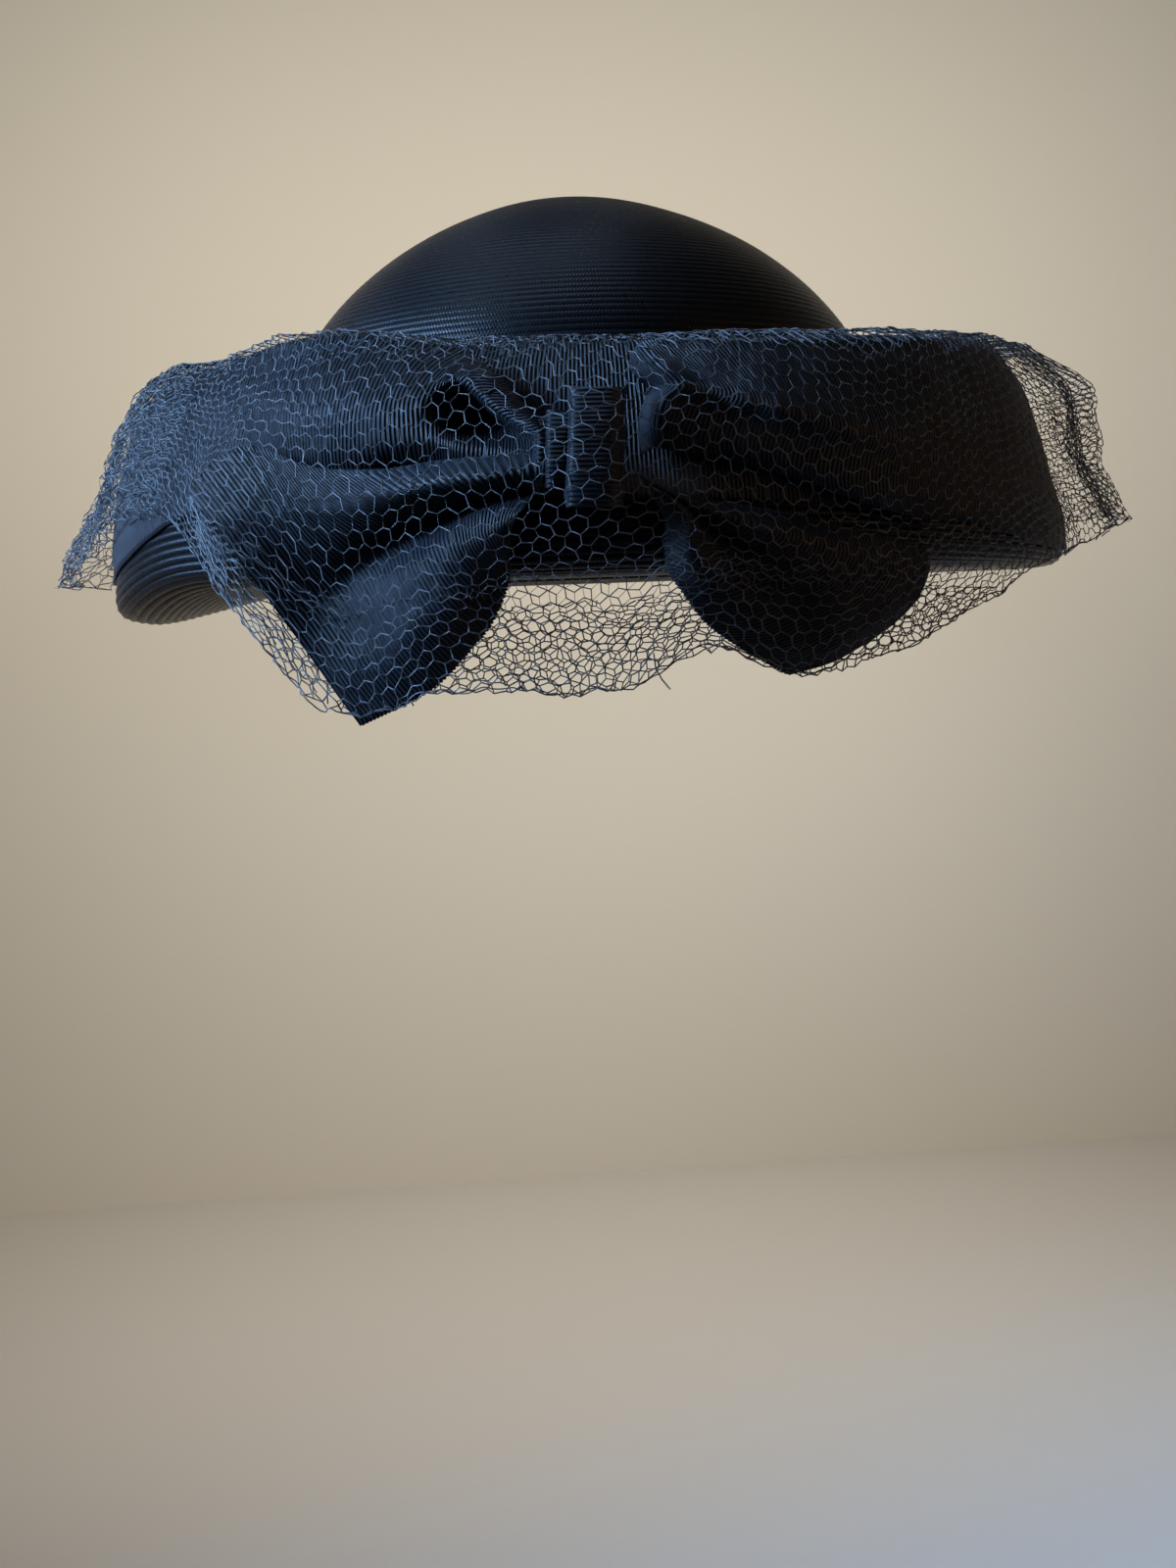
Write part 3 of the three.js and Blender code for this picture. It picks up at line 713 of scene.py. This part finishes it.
# Veil: six-sided net laid over the bow, gathered over the rim and folded back under the brim.
# Each hem row gives, at a turn from the front towards the right, the height of the hem and the least
# distance off the wall at even shares of the way down from the rim.
veil = {
    "cell": 2.6,  # side of a mesh
    "grain": 21,  # degrees its rows slope down towards the right
    "columns": 161,
    "rows": 22,
    "gather": 3.6,  # rows that go over the rim
    "under": 8,  # rows that go back under the brim
    "inner": 146,  # how far from the middle of the hat those end
    "turns": (-106, 106),
    "thread": 0.18,
    "link": 0.075,  # the short threads between the rows, which show less
    "clear": 0.9,
    "crushed": (44, 60),  # turns to the left between which the crushed end begins
    "strayX": [(2.2, 5, 17), (1.0, 77, 6), (0.35, 21, 2.5)],  # strength, seed and size of its unevenness
    "strayY": [(4.5, 31, 46), (2.2, 8, 15), (1.0, 93, 6), (0.35, 64, 2.5)],
    "flat": (0.630, 0.150),
    "threadShare": 0.3,  # share of the flat net that is thread
    "hem": [
        {"turn": -106, "z": 3, "lifts": [0.5, 2, 3, 3, 4, 5]},
        {"turn": -97, "z": 3, "lifts": [0.5, 3, 5, 7, 15, 17]},
        {"turn": -90, "z": 3, "lifts": [0.5, 3.5, 5.5, 8, 17.5, 19.5]},
        {"turn": -84, "z": 4, "lifts": [0.5, 3.5, 5, 6, 14, 17]},
        {"turn": -76, "z": 10, "lifts": [0.5, 3, 3.5, 3.5, 5, 7]},
        {"turn": -69, "z": 17.5, "lifts": [0.5, 3, 3, 3, 3, 3.5]},
        {"turn": -64, "z": 20.5, "lifts": [0.5, 3, 3, 3, 3, 3]},
        {"turn": -56, "z": 22.5, "lifts": [0.5, 3, 3, 3, 3, 3]},
        {"turn": -50, "z": 22, "lifts": [0.5, 3, 4, 4, 4, 4]},
        {"turn": -47, "z": 17, "lifts": [0.5, 3, 4, 4, 4, 4.5]},
        {"turn": -42, "z": 6.6, "lifts": [0.5, 3, 4, 5, 6, 6]},
        {"turn": -38, "z": -3, "lifts": [0.5, 3, 4, 5, 6, 8]},
        {"turn": -34, "z": -11, "lifts": [0.5, 3, 4, 5, 6, 8]},
        {"turn": -30, "z": -22, "lifts": [0.5, 3, 4, 5, 7, 9]},
        {"turn": -26, "z": -32, "lifts": [0.5, 3, 4, 5, 8, 10]},
        {"turn": -22, "z": -34.5, "lifts": [0.5, 3, 4, 5, 9, 11]},
        {"turn": -14, "z": -29.5, "lifts": [0.5, 3, 4, 6, 10, 13]},
        {"turn": -7, "z": -29, "lifts": [0.5, 3, 4, 6, 11, 14]},
        {"turn": 0, "z": -30, "lifts": [0.5, 3, 4, 6, 11, 14]},
        {"turn": 3, "z": -28.5, "lifts": [0.5, 3, 4, 6, 11, 14]},
        {"turn": 8, "z": -21, "lifts": [0.5, 3, 4, 6, 11, 13]},
        {"turn": 11, "z": -20.5, "lifts": [0.5, 3, 4, 6, 10, 12]},
        {"turn": 16, "z": -26, "lifts": [0.5, 3, 4, 6, 10, 12]},
        {"turn": 19, "z": -28.5, "lifts": [0.5, 3, 4, 6, 9, 11]},
        {"turn": 31, "z": -21, "lifts": [0.5, 3, 4, 6, 7, 10]},
        {"turn": 40, "z": -12.5, "lifts": [0.5, 3, 4, 6, 7, 8]},
        {"turn": 48, "z": -5, "lifts": [0.5, 3, 4, 6, 7, 8]},
        {"turn": 56, "z": 1, "lifts": [0.5, 4, 5, 6, 7, 8]},
        {"turn": 66, "z": 6, "lifts": [1.5, 8, 8, 8, 9, 11]},
        {"turn": 75, "z": 11, "lifts": [6, 16, 13, 14, 15, 19]},
        {"turn": 84, "z": 14, "lifts": [13, 26, 21, 20, 20, 25]},
        {"turn": 91, "z": 14, "lifts": [12, 24, 19, 18, 20, 23]},
        {"turn": 98, "z": 12, "lifts": [8, 15, 12, 12, 15, 18]},
        {"turn": 106, "z": 9, "lifts": [0.5, 2, 3, 4, 5, 6]},
    ],
}
columnWide, rowTall = 1.5 * veil["cell"], math.sqrt(3) * veil["cell"]
netHalf, netDrop = veil["columns"] * columnWide / 2, veil["rows"] * rowTall


# The turn from the front, in degrees, at a column of the net
def columnTurn(i):
    start, end = veil["turns"]
    return start + (end - start) * i / veil["columns"]


# How far out the pieces under the net stand, in one direction from the middle of the hat
def coveredTo(trees, c, s, z):
    best = 0
    for tree in trees:
        found = tree.ray_cast(Vector((c * 230, s * 230, z)) * mm, Vector((-c, -s, 0)), 0.13)
        if found[0]:
            best = max(best, found[0].xy.length / mm)
    return best


# One column of the net: heights down from the rim, and the least distance it may come to the middle
def columnShape(v, trees, turn):
    c, s = math.cos(math.radians(turn - 90)), math.sin(math.radians(turn - 90))
    rim = brimPoint(turn - 90, rimRow)
    top = rim.z + 3.6
    for k in range(12):
        if coveredTo(trees, c, s, rim.z + 3 + k):
            top = max(top, rim.z + 4.2 + k)
    hem = between(v["hem"], "turn", "z", turn)
    lifts = []
    for k in range(6):
        spots = [{"turn": h["turn"], "lift": h["lifts"][k]} for h in v["hem"]]
        lifts.append(between(spots, "turn", "lift", turn))
    heights, least = [], []
    for j in range(v["rows"] + 1):
        share = j / v["rows"]
        z = top + (hem - top) * share
        base = brimPoint(turn - 90, max(wallPlace(turn - 90, z), brim["turnedUp"])).xy.length
        hit = max(coveredTo(trees, c, s, z), coveredTo(trees, c, s, z - 1.6) if j < 2 else 0)
        heights.append(z)
        least.append(max(base + through(lifts, share * 5), hit + v["clear"] if hit else 0))
    return heights, least, rim.xy.length


# Lays the net over the bow and draws it tight: its heights and distances out by column and row, and
# the rim's distance out by column
def drapeNet(v):
    depsgraph = bpy.context.evaluated_depsgraph_get()
    trees = [BVHTree.FromObject(piece, depsgraph) for piece in [bandPiece, *bow]]
    columns, rows = v["columns"], v["rows"]
    shapes = [columnShape(v, trees, columnTurn(i)) for i in range(columns + 1)]
    heights, least, rims = zip(*shapes)
    reach = [column[:] for column in least]
    for _ in range(80):
        fresh = [column[:] for column in reach]
        for i in range(columns + 1):
            for j in range(1, rows + 1):  # the top row stays gathered over the rim
                left, right = reach[max(i - 1, 0)][j], reach[min(i + 1, columns)][j]
                up, down = reach[i][j - 1], reach[i][min(j + 1, rows)]
                fresh[i][j] = max(least[i][j], (left + right + up + down) / 4 - 0.02)
        reach = fresh
    return heights, reach, rims


# A value of a grid at any place between its columns and rows
def onGrid(grid, i, j):
    i = min(max(i, 0), len(grid) - 1 - 1e-6)
    j = min(max(j, 0), len(grid[0]) - 1 - 1e-6)
    a, b = int(i), int(j)
    top = grid[a][b] + (grid[a + 1][b] - grid[a][b]) * (i - a)
    low = grid[a][b + 1] + (grid[a + 1][b + 1] - grid[a][b + 1]) * (i - a)
    return top + (low - top) * (j - b)


def stray(x, y, waves):
    return sum(strength * wobble(x, y, seed, size) for strength, seed, size in waves)


# A point of the net in space, from its place on the flat net in mm, along it and down from the rim
def netPoint(v, draped, x, y, layer):
    heights, reach, rims = draped
    columns, rows = v["columns"], v["rows"]
    x, y = x + stray(x, y, v["strayX"]), y + stray(x, y, v["strayY"])
    crush = smooth(*v["crushed"], -columnTurn(x / columnWide + columns / 2))
    x += crush * (3 * wobble(x, y, 15 + layer, 9) + 2 * wobble(x, y, 18 + layer, 4))
    y += crush * (4 * wobble(x, y, 25 + layer, 9) + 2.5 * wobble(x, y, 28 + layer, 4))
    i, j = x / columnWide + columns / 2, y / rowTall
    turn = columnTurn(i)
    z, r = onGrid(heights, i, j), onGrid(reach, i, j)
    ruffle = 0.5 + 0.9 * wobble(x, y, 12, 20) + 0.5 * wobble(x, y, 14, 6)
    if j < 0:
        share = -j / v["gather"]
        behind = rims[min(max(round(i), 0), columns)] - 4.5 - 3 * share
        r += (behind - r) * smooth(0, 0.6, share)
        z += 0.8 * ruffle - 9 * smooth(0.55, 1, share)
    elif j > rows:
        share = (j - rows) / v["under"]
        r += (v["inner"] - r) * share - 1.5
        z += (-4 - z) * share * 0.9 - 0.5 + 1.2 * wobble(x, y, 40, 9)
    else:
        z += 1.6 * wobble(turn * 3, 0, 2, 12) * (1 - smooth(0, 3, j))
        z += 1.0 * wobble(turn * 3, 0, 9, 14) * smooth(rows - 3, rows, j)
    leftEnd = smooth(78, 86, -turn) * smooth(0.5 * rows, 0.75 * rows, j)
    flare = max(smooth(70, 80, turn), leftEnd) * smooth(0, 0.2 * rows, j)
    fold = 3.2 * math.sin(turn * 0.62 + j * 0.1) + 3 * wobble(turn * 1.5, j * 4, 55, 16) - 1
    heap = (1.6 + 3 * wobble(x, y, 71 + layer, 8)) * smooth(-3, 2, j)
    r += layer * (1.3 - 7 * smooth(0, -12, z)) + crush * heap
    r += max(ruffle, 0) * 0.9 + flare * fold
    way = math.radians(turn - 90)
    return Vector((r * math.cos(way), r * math.sin(way), z)) * mm


def onNet(v, point, layer):
    x, y = point
    if abs(x) > netHalf or y < -v["gather"] * rowTall:
        return False
    turn = columnTurn(x / columnWide + v["columns"] / 2)
    if layer:  # the spare net is folded over at both ends, along the rim and above the front hem
        edge = 5 * wobble(x, y, 88, 14)
        ends = turn < -50 + edge or turn > 66 + edge
        hemFold = y > netDrop - 32 + edge and -42 < turn < 62
        return (ends or y < 6 + edge or hemFold) and y < netDrop
    hem = between(v["hem"], "turn", "z", turn)
    return y < netDrop + v["under"] * rowTall * smooth(-4, -14, hem)


# The parts of a flat line that lie on the net, cut off where they cross its edge
def keptParts(v, line, layer):
    parts, part = [], []
    for a, b in zip(line, line[1:]):
        onA, onB = onNet(v, a, layer), onNet(v, b, layer)
        if onA and not part:
            part.append(a)
        if onA != onB:
            low, high = (a, b) if onA else (b, a)
            for _ in range(6):
                middle = (low[0] + high[0]) / 2, (low[1] + high[1]) / 2
                low, high = (middle, high) if onNet(v, middle, layer) else (low, middle)
            part.append(low)
        if onB:
            part.append(b)
        elif part:
            parts.append(part)
            part = []
    if part:
        parts.append(part)
    return parts


# Lines of the flat net: a thread runs over the tops of one row of meshes, with odd columns half a mesh
# lower, and links hang between the threads
def netLines(v, layer):
    grainX, grainY = math.cos(math.radians(v["grain"])), math.sin(math.radians(v["grain"]))

    def corner(i, row, side):
        x = (i + side / 3 + 0.4 * layer) * columnWide
        y = (row + (0.5 if i % 2 else 0) + 0.5 * layer) * rowTall - 20
        return x * grainX - y * grainY, x * grainY + y * grainX

    threads, links = [], []
    for row in range(-36, 52):
        thread = [corner(i, row, side) for i in range(-92, 92) for side in (-1, 1)]
        threads += keptParts(v, thread, layer)
        for i in range(-91, 92, 2):
            links += keptParts(v, [corner(i, row, -1), corner(i - 1, row + 1, 1)], layer)
            links += keptParts(v, [corner(i, row, 1), corner(i + 1, row + 1, -1)], layer)
    return threads, links


# A three-sided cross-section for thread
def threadSection(radius):
    curve = bpy.data.curves.new("section", "CURVE")
    spline = curve.splines.new("POLY")
    spline.points.add(2)
    for k, point in enumerate(spline.points):
        turn = k * 2 * math.pi / 3
        point.co = (radius * 1.15 * math.cos(turn), radius * 1.15 * math.sin(turn), 0, 1)
    spline.use_cyclic_u = True
    holder = bpy.data.objects.new("section", curve)
    bpy.context.scene.collection.objects.link(holder)
    return holder


# Adds thread along each line, thicker by a share below the brim, where it shows against the light
def addThread(bm, lines, radius, bold):
    curve = bpy.data.curves.new("thread", "CURVE")
    curve.dimensions = "3D"
    curve.bevel_mode = "OBJECT"
    curve.bevel_object = threadSection(radius * mm)
    curve.use_fill_caps = True
    for line in lines:
        if len(line) < 2:
            continue
        spline = curve.splines.new("POLY")
        spline.points.add(len(line) - 1)
        spline.points.foreach_set("co", [value for point in line for value in (*point, 1)])
        spline.points.foreach_set("radius", [1 + bold * smooth(-6, -14, point.z / mm) for point in line])
    holder = bpy.data.objects.new("thread", curve)
    bpy.context.scene.collection.objects.link(holder)
    mesh = bpy.data.meshes.new_from_object(holder.evaluated_get(bpy.context.evaluated_depsgraph_get()))
    bm.from_mesh(mesh)
    bpy.data.objects.remove(curve.bevel_object)
    bpy.data.objects.remove(holder)
    bpy.data.curves.remove(curve)
    bpy.data.meshes.remove(mesh)


def makeVeil(v):
    draped = drapeNet(v)
    threads, links = [], []
    for layer in (0, 1):
        flatThreads, flatLinks = netLines(v, layer)
        threads += [[netPoint(v, draped, *point, layer) for point in line] for line in flatThreads]
        links += [[netPoint(v, draped, *point, layer) for point in line] for line in flatLinks]
    step = 1.3  # between the points of the border thread
    border = [(k * step - netHalf, netDrop + 0.5 * math.sin(k)) for k in range(int(2 * netHalf / step))]
    threads.append([netPoint(v, draped, *point, 0) for point in border])
    loose = [netPoint(v, draped, 14, netDrop - 6, 0), netPoint(v, draped, 14.5, netDrop - 2, 0)]
    loose += [loose[1] + Vector((1.5, 0, -3)) * mm, loose[1] + Vector((3.5, 0, -5.5)) * mm]
    threads.append(loose)

    bm = bmesh.new()
    addThread(bm, threads, v["thread"], 0.1)
    addThread(bm, links, v["link"], 1.2)
    bmesh.ops.scale(bm, vec=(1 / mm, 1 / mm, 1 / mm), verts=bm.verts[:])
    bmesh.ops.remove_doubles(bm, verts=bm.verts[:], dist=0.0001)  # joins the caps to their threads
    for face in bm.faces:
        face.smooth = True
    piece = finishPiece(bm, "net_veil", net, "veil")
    return piece


makeVeil(veil)
print("veil draped")

# Stage: a pale floor and a beige backdrop, a cool window on the left and a weak warm light on the right
stage = {
    "floor": (0.72, 0.67, 0.61, 1),
    "wall": (0.80, 0.74, 0.65, 1),
    "floorZ": -0.62,
    "wallY": 1.25,
    "wallTurn": 6,
    "world": (0.85, 0.92, 1.0, 1),
    "worldStrength": 0.04,
}
lamps = [
    {"name": "window", "place": (-1.3, -0.2, 0.58), "size": (0.7, 0.9), "power": 9,
     "colour": (0.32, 0.57, 1.0), "spread": 38},
    {"name": "room", "place": (1.35, -0.25, 0.35), "size": (0.7, 0.7), "power": 0.5,
     "colour": (1.0, 0.56, 0.26), "spread": 70},
    {"name": "ceiling", "place": (-0.3, 0.12, 1.4), "size": (0.5, 0.5), "power": 0.35,
     "colour": (0.65, 0.82, 1.0), "spread": 50},
    {"name": "wallLamp", "place": (0.08, 0.35, 0.34), "size": (1.4, 0.4), "power": 6.8,
     "colour": (1.0, 0.94, 0.81), "aim": (0.06, 1.25, 0.12), "spread": 160},
    {"name": "floorLamp", "place": (0.0, 0.75, 0.0), "size": (1.0, 0.5), "power": 0.75,
     "colour": (0.88, 0.93, 1.0), "aim": (-0.05, 0.9, -0.62), "spread": 140},
]


def stagePlane(name, size, colour, matrix):
    bm = bmesh.new()
    bmesh.ops.create_grid(bm, x_segments=1, y_segments=1, size=size, matrix=matrix)
    mesh = bpy.data.meshes.new(name)
    bm.to_mesh(mesh)
    bm.free()
    material, tree, shader = blankMaterial(name)
    spot = wire(tree, "ShaderNodeTexCoord", {}).outputs["Object"]
    cloud = wire(tree, "ShaderNodeTexNoise", {"Vector": spot, "Scale": 0.8, "Detail": 2.0}).outputs[0]
    dim = tuple(channel * 0.93 for channel in colour[:3]) + (1,)
    tree.links.new(blend(tree, cloud, dim, colour), shader.inputs["Base Color"])
    shader.inputs["Roughness"].default_value = 0.8
    mesh.materials.append(material)
    plane = bpy.data.objects.new(name, mesh)
    bpy.context.scene.collection.objects.link(plane)


def makeStage(s):
    stagePlane("floor", 6, s["floor"], Matrix.Translation((0, 0, s["floorZ"])))
    turn = Matrix.Rotation(math.radians(s["wallTurn"]), 4, "Z") @ Matrix.Rotation(math.radians(90), 4, "X")
    stagePlane("wall", 6, s["wall"], Matrix.Translation((0, s["wallY"], s["floorZ"] + 6)) @ turn)
    world = bpy.data.worlds.new("room")
    world.use_nodes = True
    world.node_tree.nodes["Background"].inputs["Color"].default_value = s["world"]
    world.node_tree.nodes["Background"].inputs["Strength"].default_value = s["worldStrength"]
    bpy.context.scene.world = world
    bpy.context.scene.view_settings.view_transform = "Standard"


def makeLamp(lamp):
    data = bpy.data.lights.new(lamp["name"], "AREA")
    data.shape = "RECTANGLE"
    data.size, data.size_y = lamp["size"]
    data.energy = lamp["power"]
    data.color = lamp["colour"]
    data.spread = math.radians(lamp["spread"])
    light = bpy.data.objects.new(lamp["name"], data)
    bpy.context.scene.collection.objects.link(light)
    place = Vector(lamp["place"])
    aim = Vector(lamp.get("aim", (0, 0, 0.03)))
    turn = (aim - place).to_track_quat("-Z", "Y").to_matrix().to_4x4()
    light.matrix_world = Matrix.Translation(place) @ turn


makeStage(stage)
for lamp in lamps:
    makeLamp(lamp)
print("stage lit")
